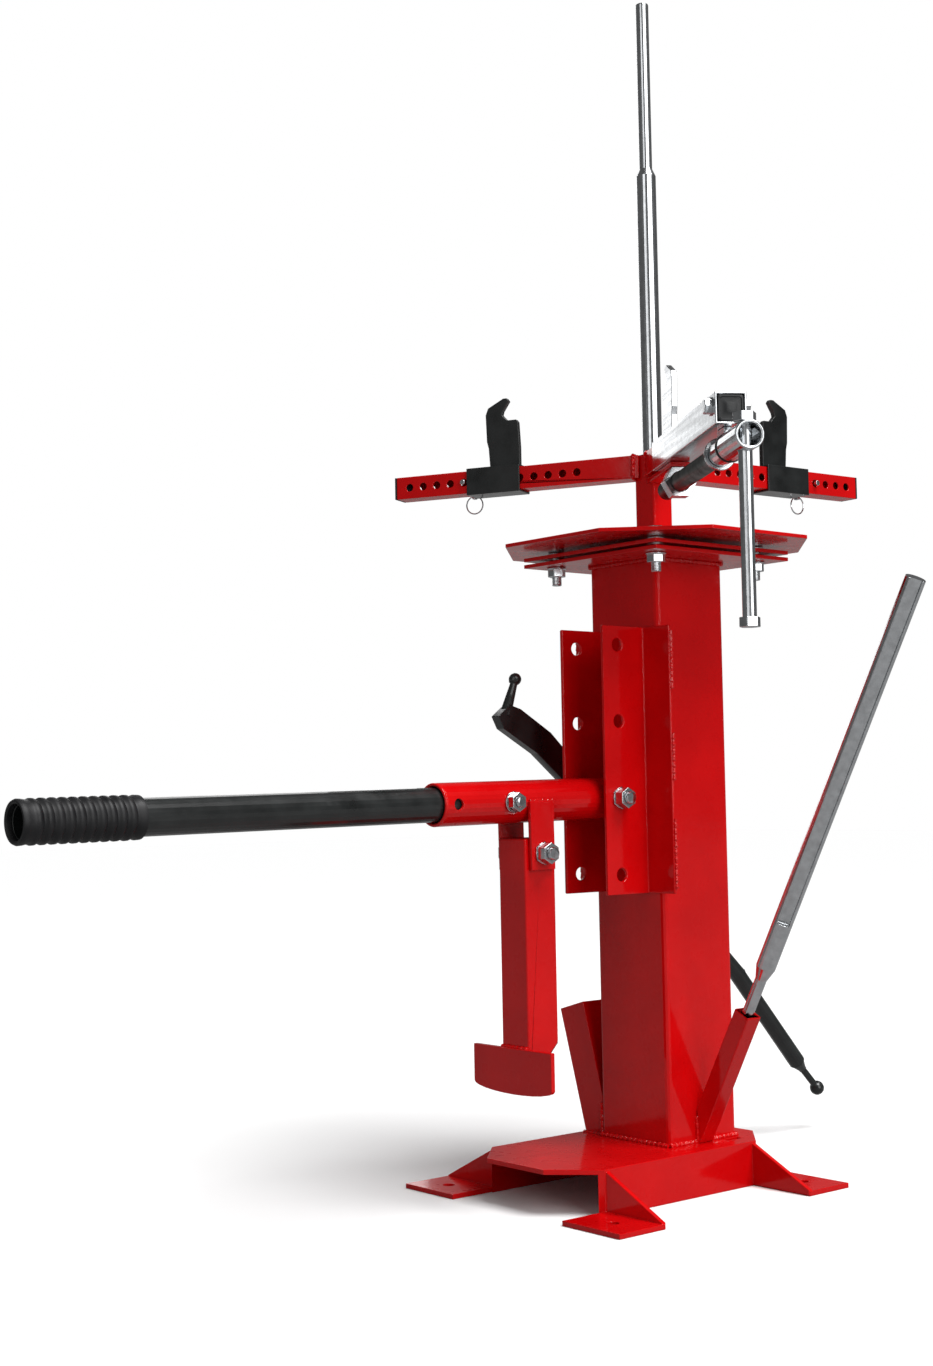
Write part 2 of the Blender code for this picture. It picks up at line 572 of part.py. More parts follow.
def build_front_arm():
    """The screwed arm: a zinc slide with a jaw on it, a screw in a fixed nut, and its T-bar."""
    frame = arm_frame("arm_frame_front", FRONT_AZIMUTH)
    clear_post(square_tube("arm_front", ARM_HALF, ARM_WALL, ARM_START, FRONT_ARM_END, frame, painted))
    under = -JAW_HALF - GAP
    clear_post(block("nut_bracket", (ARM_START, -10 * MM, under - 5 * MM), (NUT_END, 10 * MM, under),
                     frame, painted))
    fixed = hexagon("screw_nut", NUT_FLATS, (NUT_START, 0, SCREW_DROP), (NUT_END, 0, SCREW_DROP), frame,
                    zinc, turn=math.radians(30))
    cut(fixed, column_between("screw_nut_bore", (NUT_START - 10 * MM, 0, SCREW_DROP),
                              (NUT_END + 10 * MM, 0, SCREW_DROP), SCREW_RADIUS + GAP, 24, frame))

    clamp = empty("clamp_frame", (0, 0, 0), parent=frame)
    square_tube("clamp_slide", JAW_HALF, JAW_HALF - JAW_BORE, SLIDE_START, SLIDE_END, clamp, zinc)
    plug = JAW_BORE - GAP
    block("clamp_cap", (SLIDE_END - 12 * MM, -plug, -plug), (SLIDE_END - 2 * MM, plug, plug), clamp, black)
    hook("jaw_hook_front", SLIDE_START + 2 * MM, JAW_HALF + GAP, clamp, zinc)
    bush = column_between("screw_bush", (BUSH_START, 0, SCREW_DROP), (BUSH_END, 0, SCREW_DROP),
                          BUSH_RADIUS, 24, clamp, zinc)
    join(bush, block("screw_bush_web", (BUSH_START + 2 * MM, -4 * MM, SCREW_DROP),
                     (BUSH_END - 2 * MM, 4 * MM, -JAW_HALF - GAP), clamp))
    cut(bush, column_between("screw_bush_bore", (BUSH_START - 10 * MM, 0, SCREW_DROP),
                             (BUSH_END + 10 * MM, 0, SCREW_DROP), SCREW_RADIUS + GAP, 24, clamp))

    screw = empty("screw_frame", (0, 0, SCREW_DROP), parent=clamp)
    column_between("clamp_screw", (SCREW_START, 0, 0), (HEAD_START - GAP, 0, 0), SCREW_RADIUS, 24, screw,
                   zinc)
    head = column_between("screw_head", (HEAD_START, 0, 0), (HEAD_END, 0, 0), HEAD_RADIUS, 28, screw, zinc)
    cut(head, column_between("screw_head_bore", (HEAD_START + 14 * MM, 0, 0), (HEAD_END + 10 * MM, 0, 0),
                             HEAD_BORE, 24, screw))
    cut(head, column_between("screw_head_cross", (T_BAR_X, 0, -40 * MM), (T_BAR_X, 0, 40 * MM),
                             T_BAR_RADIUS + GAP, 20, screw))

    handle = empty("t_bar_frame", (T_BAR_X, 0, 0), parent=screw)
    top = HEAD_RADIUS + GAP
    bar = column_between("t_bar", (0, 0, -T_BAR_DROP), (0, 0, top + 4 * MM), T_BAR_RADIUS, 20, handle,
                         zinc)
    join(bar, hexagon("t_bar_head", M12_FLATS, (0, 0, top), (0, 0, top + 8.5 * MM), handle))
    end = hexagon("t_bar_nut", M10_FLATS, (0, 0, -T_BAR_DROP - 5 * MM), (0, 0, -T_BAR_DROP + 4 * MM),
                  handle, zinc)
    cut(end, column_between("t_bar_nut_bore", (0, 0, -T_BAR_DROP - GAP), (0, 0, -T_BAR_DROP + 20 * MM),
                            T_BAR_RADIUS + GAP, 20, handle))


def build_hub():
    """The square post, the three arms, and the centre rod that stands in the post."""
    post = block("hub_post", (-POST_HALF, -POST_HALF, DECK_Z + PLATE + GAP),
                 (POST_HALF, POST_HALF, ARM_Z + ARM_HALF), look=painted, bevel=2 * MM)
    cut(post, block("hub_post_bore", (-POST_BORE, -POST_BORE, DECK_Z),
                    (POST_BORE, POST_BORE, ARM_Z + 50 * MM)))
    build_side_arm("left", LEFT_AZIMUTH, LEFT_JAW, LEFT_PIN_HOLE, near=1)
    build_side_arm("right", RIGHT_AZIMUTH, RIGHT_JAW, RIGHT_PIN_HOLE, near=-1)
    build_front_arm()
    lift = empty("centre_rod_frame", (0, 0, CENTRE_ROD_FOOT))
    tall = CENTRE_ROD_TOP - CENTRE_ROD_FOOT
    step = CENTRE_ROD_STEP - CENTRE_ROD_FOOT
    turned("centre_rod", [(0, tall), (CENTRE_ROD_THIN - 1 * MM, tall), (CENTRE_ROD_THIN, tall - 1 * MM),
                          (CENTRE_ROD_THIN, step + 4 * MM), (CENTRE_ROD_THICK, step - 4 * MM),
                          (CENTRE_ROD_THICK, 1 * MM), (CENTRE_ROD_THICK - 1 * MM, 0), (0, 0)], 28,
           lift, zinc)


def socket(name, mouth, rotation, half, length):
    """A leaning square tube, cut flush with the column's side and the base's top."""
    frame = empty(name + "_frame", mouth, rotation)
    tube = square_tube(name, half, SOCKET_WALL, -length, 0, frame, painted, axis=2)
    side = COLUMN_SIDE / 2 + GAP
    reach = 300 * MM
    cut(tube, block(name + "_column_cut", (-reach, -side, -reach), (reach, side, reach)))
    cut(tube, block(name + "_base_cut", (-reach, -reach, -reach), (reach, reach, BASE_TOP + GAP)))
    return frame


def build_tools():
    """The two leaning sockets, the trough-shaped iron in one of them, and the bar on the back."""
    frame = socket("iron_socket", SOCKET_MOUTH, (SOCKET_LEAN, 0, 0), SOCKET_HALF, SOCKET_LENGTH)
    iron = turned("tyre_iron", [(0, IRON_LENGTH), (IRON_THICK, IRON_LENGTH),
                                (IRON_THICK, IRON_STEP + 8 * MM), (IRON_THIN, IRON_STEP - 6 * MM),
                                (IRON_THIN, -IRON_IN_SOCKET), (0, -IRON_IN_SOCKET)], 24, frame, zinc)
    facing = empty("iron_trough_frame", (0, 0, 0), (0, 0, math.radians(-45)), frame)
    trough = block("iron_trough", (-6 * MM, -20 * MM, IRON_STEP + 60 * MM),
                   (6 * MM, -3.5 * MM, IRON_LENGTH + 10 * MM), facing)
    cut(iron, trough)
    socket("bar_socket", WIDE_SOCKET_MOUTH, (-WIDE_SOCKET_LEAN, 0, 0), WIDE_SOCKET_HALF,
           WIDE_SOCKET_LENGTH)

    bar = empty("bar_frame", BAR_CENTRE, (0, BAR_SLOPE, 0))
    low = BLADE_SHOULDER + GAP
    high = low + HOLDER_LENGTH
    holder = square_tube("bar_holder", HOLDER_HALF, HOLDER_HALF - HOLDER_BORE, low, high, bar, painted)
    standoff = BAR_CENTRE.y - COLUMN_SIDE / 2 - GAP
    join(holder, block("bar_holder_foot", (low + 14 * MM, -standoff, -10 * MM),
                       (high - 14 * MM, -HOLDER_HALF + 1 * MM, 10 * MM), bar))
    build_bar(bar)


def build_bar(frame):
    """The mounting bar: a flat blade with a cranked ball end, a round shank and a ball tip."""
    shank_start = Vector((-70 * MM, 0, 0))
    bend = Vector((280 * MM, 0, 0))
    shoulder = Vector((428 * MM, 0, -15.5 * MM))
    ball = Vector((477 * MM, 0, -17.7 * MM))
    made = column_between("mounting_bar", shank_start, bend, BAR_RADIUS, 20, frame, black)
    join(made, column_between("bar_lower", bend - Vector((4 * MM, 0, 0)), shoulder, BAR_RADIUS, 20, frame,
                              tip=BAR_RADIUS * 1.02))
    way = (ball - shoulder).normalized()
    join(made, column_between("bar_taper", shoulder - way * 2 * MM, shoulder + way * 14 * MM,
                              BAR_RADIUS * 0.99, 20, frame, tip=4.2 * MM))
    join(made, column_between("bar_neck", shoulder + way * 12 * MM, ball, 4 * MM, 16, frame))
    join(made, ball_shape("bar_ball", ball, 8.5 * MM, frame))
    blade = [(-61, 13), (-61, -13), (-124, -17), (-176, -29), (-190, -24), (-186, -4), (-172, 3),
             (-124, 13)]
    outline = [(x * MM, -z * MM) for x, z in blade]
    plate = sheet("bar_blade", outline, 12 * MM, (), frame)
    plate.rotation_euler = (math.radians(-90), 0, 0)
    join(made, as_mesh(plate))
    knob = Vector((-195 * MM, 0, 25 * MM))
    elbow = Vector((-180 * MM, 0, -14 * MM))
    join(made, column_between("bar_crank", elbow, knob, 6.5 * MM, 16, frame, tip=3.6 * MM))
    join(made, ball_shape("bar_knob", knob, 6.8 * MM, frame))


def ball_shape(name, centre, radius, parent):
    shape = bmesh.new()
    bmesh.ops.create_uvsphere(shape, u_segments=18, v_segments=12, radius=radius)
    bmesh.ops.translate(shape, vec=centre, verts=shape.verts)
    mesh = bpy.data.meshes.new(name)
    shape.to_mesh(mesh)
    shape.free()
    return place(name, mesh, parent, smooth=True)


def as_mesh(curve):
    """Turn a curve object into a closed mesh cutter that keeps its place."""
    bpy.context.view_layer.update()
    graph = bpy.context.evaluated_depsgraph_get()
    mesh = bpy.data.meshes.new_from_object(curve.evaluated_get(graph))
    shape = bmesh.new()
    shape.from_mesh(mesh)
    bmesh.ops.remove_doubles(shape, verts=shape.verts, dist=0.00001)
    bmesh.ops.recalc_face_normals(shape, faces=shape.faces)
    shape.to_mesh(mesh)
    shape.free()
    made = place(curve.name + "_solid", mesh)
    made.matrix_world = curve.matrix_world
    bpy.data.objects.remove(curve, do_unlink=True)
    return made


def move_to_origin():
    """Move every piece that has no parent, and with it all the rest, to the object's own origin."""
    for made in (*PARTS.objects, *CUTTERS.objects):
        if made.parent is None:
            made.location -= MIDDLE


def main():
    build_base()
    build_column()
    build_brackets()
    build_pusher(build_lever())
    build_hub()
    build_tools()
    move_to_origin()


main()
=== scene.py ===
"""Looks for the manual tyre changer: paint, plating, welds, threads, the ribbed grip and small parts."""
import json
import math

import bmesh
import bpy
from mathutils import Matrix, Vector


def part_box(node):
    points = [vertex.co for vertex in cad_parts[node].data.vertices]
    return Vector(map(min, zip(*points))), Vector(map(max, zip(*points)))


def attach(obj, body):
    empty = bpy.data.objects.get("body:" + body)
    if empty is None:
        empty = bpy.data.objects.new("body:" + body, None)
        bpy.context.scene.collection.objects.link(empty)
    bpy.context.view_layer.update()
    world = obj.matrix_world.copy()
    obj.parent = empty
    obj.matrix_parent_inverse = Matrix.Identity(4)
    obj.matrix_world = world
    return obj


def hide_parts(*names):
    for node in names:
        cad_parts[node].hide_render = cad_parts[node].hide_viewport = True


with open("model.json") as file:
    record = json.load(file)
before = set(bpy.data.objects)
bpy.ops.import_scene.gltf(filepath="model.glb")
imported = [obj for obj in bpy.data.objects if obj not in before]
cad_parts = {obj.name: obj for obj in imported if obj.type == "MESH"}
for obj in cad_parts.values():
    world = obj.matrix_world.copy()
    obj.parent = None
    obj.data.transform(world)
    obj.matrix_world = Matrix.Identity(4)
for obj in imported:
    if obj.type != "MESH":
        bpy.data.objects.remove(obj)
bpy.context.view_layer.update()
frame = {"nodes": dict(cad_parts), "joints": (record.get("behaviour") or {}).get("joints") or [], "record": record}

NODES = frame["nodes"]
JOINTS = {joint["name"]: joint for joint in frame["joints"]}
MM = 0.001

# The arms, the clamp and its screw, outward from the post's axis.
ARM_HALF = 12.5 * MM
ARM_ROOT = 18.5 * MM               # where the weld runs round an arm
SCREW_START = 58 * MM
SCREW_END = 305 * MM
SCREW_RADIUS = 10 * MM
SCREW_PITCH = 2.5 * MM
SCREW_CUT = 1.2 * MM
HEAD_LIP_X = 367 * MM
HEAD_LIP_RADIUS = 12.2 * MM
CLAMP_BOLT_X = 294 * MM
CLAMP_BOLT_Y = 15.3 * MM
CLAMP_BOLT_Z = 4 * MM
CLAMP_BOLT_FLATS = 13 * MM
CAP_HALF = 12.2 * MM
CAP_FACE_OUT = 5 * MM              # from the middle of the cap to the back of its moulded face

# The lever, along its own X, which points away from the grip.
LEVER_SLOPE = math.radians(0.9)
SLEEVE_OUTER = -218 * MM
SLEEVE_INNER = 18 * MM
SLEEVE_LIP_RADIUS = 19.6 * MM
SLEEVE_LIP = 1.7 * MM
GRIP_FIRST_RIB = -549 * MM
GRIP_RIB_STEP = 9.6 * MM
GRIP_RIBS = 10

# The camera: its place from the foot of the column's axis, and the way it looks.
CAMERA_PLACE = Vector((-1.4403, -1.4152, 0.4054))
CAMERA_AIM = Vector((0.63726, 0.76828, 0.06043))
CAMERA_ROLL = math.radians(-1.03)
CAMERA_LENS = 33.03
SENSOR_HEIGHT = 24.0

FLOOR_HALF = 14.0
FLOOR_BELOW = 0.2 * MM             # a gap under the feet, too thin to see

ROD_LOW, ROD_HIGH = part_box("centre_rod")
COLUMN_AXIS = Vector(((ROD_LOW.x + ROD_HIGH.x) / 2, (ROD_LOW.y + ROD_HIGH.y) / 2, 0))


# ---------------------------------------------------------------- local frames

def facing(origin, along, up=(0, 0, 1)):
    """A frame at origin whose X runs along one direction and whose Z leans as near to up as it can."""
    x_axis = Vector(along).normalized()
    y_axis = Vector(up).cross(x_axis).normalized()
    z_axis = x_axis.cross(y_axis)
    turn = Matrix((x_axis, y_axis, z_axis)).transposed().to_4x4()
    return Matrix.Translation(origin) @ turn


ARM_Z = (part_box("arm_front")[0].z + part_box("arm_front")[1].z) / 2
HUB = COLUMN_AXIS + Vector((0, 0, ARM_Z))
FRONT = facing(HUB, JOINTS["clamp_travel"]["axis"])
ARMS = {
    "left": facing(HUB, JOINTS["jaw_left_slide"]["axis"]),
    "right": facing(HUB, JOINTS["jaw_right_slide"]["axis"]),
    "front": FRONT,
}
SCREW = facing(JOINTS["screw_turn"]["pos_m"], JOINTS["screw_turn"]["axis"])
LEVER = facing(JOINTS["lever_lift"]["pos_m"], (math.cos(LEVER_SLOPE), 0, math.sin(LEVER_SLOPE)))


# ---------------------------------------------------------------- materials

def new_material(name, colour, roughness, metallic=0.0, specular=0.5, coat=0.0):
    """A material of one colour and gloss, which the looks below vary."""
    made = bpy.data.materials.new(name)
    made.use_nodes = True
    shader = made.node_tree.nodes["Principled BSDF"]
    shader.inputs["Base Color"].default_value = (*colour, 1.0)
    shader.inputs["Roughness"].default_value = roughness
    shader.inputs["Metallic"].default_value = metallic
    shader.inputs["Specular IOR Level"].default_value = specular
    shader.inputs["Coat Weight"].default_value = coat
    shader.inputs["Coat Roughness"].default_value = 0.04
    return made


def noise(made, sizes, turn=(0, 0, 0), detail=3.0):
    """Noise whose grains have these sizes, in metres, along the axes of a turned frame."""
    tree = made.node_tree
    coords = tree.nodes.new("ShaderNodeTexCoord")
    mapping = tree.nodes.new("ShaderNodeMapping")
    mapping.vector_type = "TEXTURE"
    mapping.inputs["Scale"].default_value = sizes
    mapping.inputs["Rotation"].default_value = turn
    texture = tree.nodes.new("ShaderNodeTexNoise")
    texture.inputs["Scale"].default_value = 1.0
    texture.inputs["Detail"].default_value = detail
    tree.links.new(coords.outputs["Object"], mapping.inputs["Vector"])
    tree.links.new(mapping.outputs["Vector"], texture.inputs["Vector"])
    return texture.outputs["Fac"]


def spread(made, value, low, high, start=0.3, end=0.7):
    """Stretch a noise value onto the range from low to high."""
    tree = made.node_tree
    ramp = tree.nodes.new("ShaderNodeMapRange")
    ramp.inputs["From Min"].default_value = start
    ramp.inputs["From Max"].default_value = end
    ramp.inputs["To Min"].default_value = low
    ramp.inputs["To Max"].default_value = high
    tree.links.new(value, ramp.inputs["Value"])
    return ramp.outputs["Result"]


def shader_of(made):
    return made.node_tree.nodes["Principled BSDF"]


def drive(made, socket, value):
    """Link a value to one of the shader's sockets."""
    made.node_tree.links.new(value, shader_of(made).inputs[socket])


def tint(made, value, first, second):
    """Blend the base colour between two colours by a value from 0 to 1."""
    tree = made.node_tree
    mix = tree.nodes.new("ShaderNodeMix")
    mix.data_type = "RGBA"
    mix.inputs[6].default_value = (*first, 1.0)
    mix.inputs[7].default_value = (*second, 1.0)
    tree.links.new(value, mix.inputs[0])
    drive(made, "Base Color", mix.outputs[2])


def bump(made, heights, coat=False):
    """Chain bumps, each given as a value and its depth in metres."""
    tree = made.node_tree
    last = None
    for value, depth in heights:
        node = tree.nodes.new("ShaderNodeBump")
        node.inputs["Distance"].default_value = depth
        tree.links.new(value, node.inputs["Height"])
        if last is not None:
            tree.links.new(last, node.inputs["Normal"])
        last = node.outputs["Normal"]
    drive(made, "Normal", last)
    if coat:
        drive(made, "Coat Normal", last)


def red_paint():
    made = new_material("red_powder_coat", (0.6, 0.002, 0.003), 0.3, specular=0.05, coat=0.6)
    peel = noise(made, (1.6 * MM,) * 3, detail=1.0)
    waves = noise(made, (14 * MM,) * 3, detail=2.0)
    cloud = noise(made, (60 * MM,) * 3)
    tint(made, spread(made, cloud, 0, 1), (0.55, 0.001, 0.002), (0.65, 0.002, 0.003))
    drive(made, "Roughness", spread(made, waves, 0.24, 0.36))
    bump(made, ((waves, 0.05 * MM), (peel, 0.035 * MM)), coat=True)
    return made


def black_paint():
    made = new_material("black_paint", (0.011, 0.012, 0.012), 0.3, specular=0.3, coat=0.6)
    grain = noise(made, (0.9 * MM,) * 3, detail=2.0)
    cloud = noise(made, (24 * MM,) * 3)
    tint(made, spread(made, cloud, 0, 1), (0.006, 0.007, 0.007), (0.014, 0.016, 0.016))
    drive(made, "Roughness", spread(made, cloud, 0.26, 0.42))
    bump(made, ((grain, 0.05 * MM),))
    return made


def black_plastic():
    made = new_material("black_plastic", (0.016, 0.017, 0.018), 0.45, specular=0.35)
    grain = noise(made, (0.5 * MM,) * 3, detail=1.0)
    drive(made, "Roughness", spread(made, grain, 0.36, 0.52))
    bump(made, ((grain, 0.04 * MM),))
    return made


def rubber():
    made = new_material("grip_rubber", (0.012, 0.012, 0.013), 0.5, specular=0.3)
    grain = noise(made, (0.7 * MM,) * 3, detail=3.0)
    cloud = noise(made, (18 * MM,) * 3)
    tint(made, spread(made, cloud, 0, 1), (0.006, 0.006, 0.007), (0.014, 0.014, 0.015))
    drive(made, "Roughness", spread(made, cloud, 0.4, 0.56))
    bump(made, ((grain, 0.06 * MM),))
    return made


def zinc(name, along=(0, 0, 1), colour=(0.68, 0.7, 0.72)):
    """Plated steel, whose drawing lines run along one direction."""
    made = new_material(name, colour, 0.2, metallic=1.0)
    turn = Vector(along).to_track_quat("Z", "Y").to_euler()
    lines = noise(made, (0.5 * MM, 0.5 * MM, 60 * MM), turn, detail=2.0)
    bands = noise(made, (5 * MM, 5 * MM, 160 * MM), turn, detail=2.0)
    spots = noise(made, (7 * MM,) * 3)
    shade = [0.78 * part for part in colour]
    tint(made, spread(made, spots, 0, 1), colour, shade)
    drive(made, "Roughness", spread(made, bands, 0.12, 0.26))
    bump(made, ((bands, 0.02 * MM), (lines, 0.008 * MM)))
    return made


def dark_steel():
    made = new_material("oiled_steel", (0.16, 0.165, 0.16), 0.36, metallic=1.0)
    grain = noise(made, (1.2 * MM,) * 3)
    cloud = noise(made, (16 * MM,) * 3)
    tint(made, spread(made, cloud, 0, 1), (0.11, 0.115, 0.11), (0.24, 0.24, 0.235))
    drive(made, "Roughness", spread(made, grain, 0.28, 0.46))
    bump(made, ((grain, 0.03 * MM),))
    return made


LOOKS = {
    "red_paint": red_paint(),
    "black_paint": black_paint(),
    "black_plastic": black_plastic(),
    "black_rubber": rubber(),
    "zinc": zinc("zinc_plate"),
    "dark_steel": dark_steel(),
}
ZINC_FRONT = zinc("zinc_tube", JOINTS["clamp_travel"]["axis"])
ZINC_IRON = zinc("zinc_iron", JOINTS["iron_pull"]["axis"])
EDGE = 0.7 * MM                     # the rounding of an edge, for the nodes that aren't listed
ROUND_EDGE = {"column": 4.5 * MM, "hub_post": 2.4 * MM, "pusher_tube": 2.2 * MM, "bracket_near": 1.5 * MM,
              "bracket_far": 1.5 * MM, "clamp_slide": 0.9 * MM, "iron_socket": 1.4 * MM}
OWN_LOOK = {"clamp_slide": ZINC_FRONT, "jaw_hook_front": ZINC_FRONT, "screw_bush": ZINC_FRONT,
            "screw_head": ZINC_FRONT, "tyre_iron": ZINC_IRON}


def finish_cad():
    """Give every CAD node its material, and soften its edges as a real one's are."""
    slots = {part["node"]: part["material_slot"] for part in frame["record"]["subparts"]}
    for name, node in NODES.items():
        look = OWN_LOOK.get(name, LOOKS[slots[name]])
        for slot in node.material_slots:
            slot.material = look
        weld = node.modifiers.new("weld", "WELD")
        weld.merge_threshold = 0.01 * MM
        flat = node.modifiers.new("flat", "DECIMATE")
        flat.decimate_type = "DISSOLVE"
        flat.angle_limit = math.radians(0.5)
        edge = node.modifiers.new("edge", "BEVEL")
        edge.width = ROUND_EDGE.get(name, EDGE)
        edge.segments = 3
        edge.limit_method = "ANGLE"
        edge.angle_limit = math.radians(38)
        # Without the clamp the base's bevels cross each other, and show as dark triangles.
        edge.use_clamp_overlap = name == "base"
        edge.harden_normals = True


# ---------------------------------------------------------------- new pieces

def add(name, shape, place, body, look, smooth=True):
    """Finish a bmesh as a piece that rides on a body."""
    mesh = bpy.data.meshes.new(name)
    bmesh.ops.recalc_face_normals(shape, faces=shape.faces)
    shape.transform(place)
    shape.to_mesh(mesh)
    shape.free()
    made = bpy.data.objects.new(name, mesh)
    bpy.context.scene.collection.objects.link(made)
    mesh.materials.append(look)
    if smooth:
        mesh.shade_smooth()
        mesh.set_sharp_from_angle(angle=math.radians(40))
    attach(made, body)
    return made


def loft(shape, rings, closed=False):
    """Skin a list of rings of vertices, and cap the two ends unless the rings close on themselves."""
    for ring, following in zip(rings, rings[1:]):
        for i in range(len(ring)):
            j = (i + 1) % len(ring)
            shape.faces.new((ring[i], ring[j], following[j], following[i]))
    if closed:
        for i in range(len(rings[0])):
            j = (i + 1) % len(rings[0])
            shape.faces.new((rings[-1][i], rings[-1][j], rings[0][j], rings[0][i]))
    else:
        shape.faces.new(rings[0])
        shape.faces.new(rings[-1])


def circle(shape, x, radius, sides, turn=0.0):
    """A ring of vertices across local X."""
    steps = [turn + 2 * math.pi * i / sides for i in range(sides)]
    return [shape.verts.new((x, radius * math.cos(a), radius * math.sin(a))) for a in steps]


def turned(profile, sides=64, closed=False):
    """A turned shape about local X from (x, radius) pairs. A closed profile makes a ring."""
    shape = bmesh.new()
    loft(shape, [circle(shape, x, radius, sides) for x, radius in profile], closed)
    return shape


def lip(x, radius, thick, out=1, sides=12):
    """The profile of a round bead that runs about local X: x is its middle, out its side."""
    angles = [2 * math.pi * i / sides for i in range(sides)]
    return [(x + out * thick * math.cos(a), radius + thick * math.sin(a)) for a in angles]


def threaded(start, end, radius, pitch, depth, sides=36):
    """A threaded rod about local X: a true helix, cut as a V into the rod."""
    shape = bmesh.new()
    steps = max(4, round((end - start) / pitch * 4))
    rings = []
    for k in range(steps + 1):
        x = start + (end - start) * k / steps
        ring = []
        for i in range(sides):
            angle = 2 * math.pi * i / sides
            phase = (x / pitch - i / sides) % 1.0
            near_end = k in (0, steps)
            cut_in = depth if near_end else depth * abs(2 * phase - 1)
            r = radius - cut_in
            ring.append(shape.verts.new((x, r * math.cos(angle), r * math.sin(angle))))
        rings.append(ring)
    loft(shape, rings)
    return shape


def prism(x, length, flats, sides=6, turn=0.0, chamfer=0.8 * MM):
    """A hexagon head or nut along local X, with both its ends turned down at the corners."""
    shape = bmesh.new()
    corner = flats / 2 / math.cos(math.pi / sides)
    inner = flats / 2 * 0.97
    profile = ((x, inner), (x + chamfer, corner), (x + length - chamfer, corner), (x + length, inner))
    loft(shape, [circle(shape, at, radius, sides, turn) for at, radius in profile])
    return shape


def bead(name, points, radius, body, look="red_paint", ripple=3.2 * MM):
    """A weld bead along a line of points, with the ripples of its run."""
    shape = bmesh.new()
    rings = []
    travelled = 0.0
    for start, end in zip(points, points[1:]):
        way = Vector(end) - Vector(start)
        place = facing(Vector(start), way, (0.3, 0.2, 0.9))
        count = max(2, round(way.length / (ripple / 4)))
        for k in range(count):
            along = way.length * k / count
            wave = abs(math.sin(math.pi * (travelled + along) / ripple))
            wobble = 0.12 * math.sin(0.9 * (travelled + along) / MM)
            r = radius * (0.78 + 0.22 * wave + wobble)
            ring = circle(shape, along, r, 8)
            for vertex in ring:
                vertex.co = place @ vertex.co
            rings.append(ring)
        travelled += way.length
    loft(shape, rings)
    return add(name, shape, Matrix.Identity(4), body, LOOKS[look])


def rectangle_loop(low, high, z):
    """The four corners of a box's outline at one height, and the first one again."""
    corners = [(low[0], low[1]), (high[0], low[1]), (high[0], high[1]), (low[0], high[1]), (low[0], low[1])]
    return [(x, y, z) for x, y in corners]


def build_welds():
    """The weld runs that show in the paint."""
    low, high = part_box("column")
    bead("weld_column_foot", rectangle_loop(low, high, low.z + 1 * MM), 3.2 * MM, "stand")
    bead("weld_column_top", rectangle_loop(low, high, high.z - 1 * MM), 2.4 * MM, "stand")
    low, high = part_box("hub_post")
    bead("weld_post_foot", rectangle_loop(low, high, low.z + 1 * MM), 2.6 * MM, "stand")
    for side in ("near", "far"):
        low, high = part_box("bracket_" + side)
        y = low.y if side == "near" else high.y
        for number, (start, end) in enumerate(((0.02, 0.28), (0.42, 0.6), (0.76, 0.98)), 1):
            run = [(high.x - 1 * MM, y, low.z + (high.z - low.z) * part) for part in (start, end)]
            bead(f"weld_bracket_{side}_{number}", run, 2.2 * MM, "stand")
    for name, place in ARMS.items():
        around = ((-1, -1), (-1, 1), (1, 1), (1, -1), (-1, -1))
        run = [place @ Vector((ARM_ROOT, y * ARM_HALF, z * ARM_HALF)) for y, z in around]
        bead("weld_arm_" + name, run, 2.2 * MM, "stand")
    low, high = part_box("iron_socket")
    foot = low.z + 1 * MM
    bead("weld_iron_socket", [(low.x, high.y, foot + 26 * MM), (low.x, high.y - 1 * MM, foot),
                              (high.x, high.y - 1 * MM, foot), (high.x, high.y, foot + 26 * MM)],
         2.2 * MM, "stand")
    low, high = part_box("bar_socket")
    bead("weld_bar_socket", [(low.x, low.y + 1 * MM, low.z + 34 * MM), (low.x, low.y + 1 * MM, low.z),
                             (low.x, low.y + 30 * MM, low.z)], 2.4 * MM, "stand")
    shoe_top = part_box("pusher_shoe")[1].z
    low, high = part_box("pusher_tube")
    bead("weld_shoe", [(low.x - 1 * MM, y, shoe_top) for y in (low.y + 1 * MM, high.y - 1 * MM)],
         2.4 * MM, "pusher")
    low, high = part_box("lever_sleeve")
    x = JOINTS["pusher_swing"]["pos_m"][0]
    top = JOINTS["lever_lift"]["pos_m"][2] - 1 * MM
    ear_half, ear_drop = 15 * MM, 20 * MM
    for side, y in (("near", low.y + 2 * MM), ("far", high.y - 2 * MM)):
        bead("weld_ear_" + side, [(x - ear_half, y, top - ear_drop), (x - ear_half, y, top),
                                  (x + ear_half, y, top), (x + ear_half, y, top - ear_drop)],
             1.6 * MM, "lever")


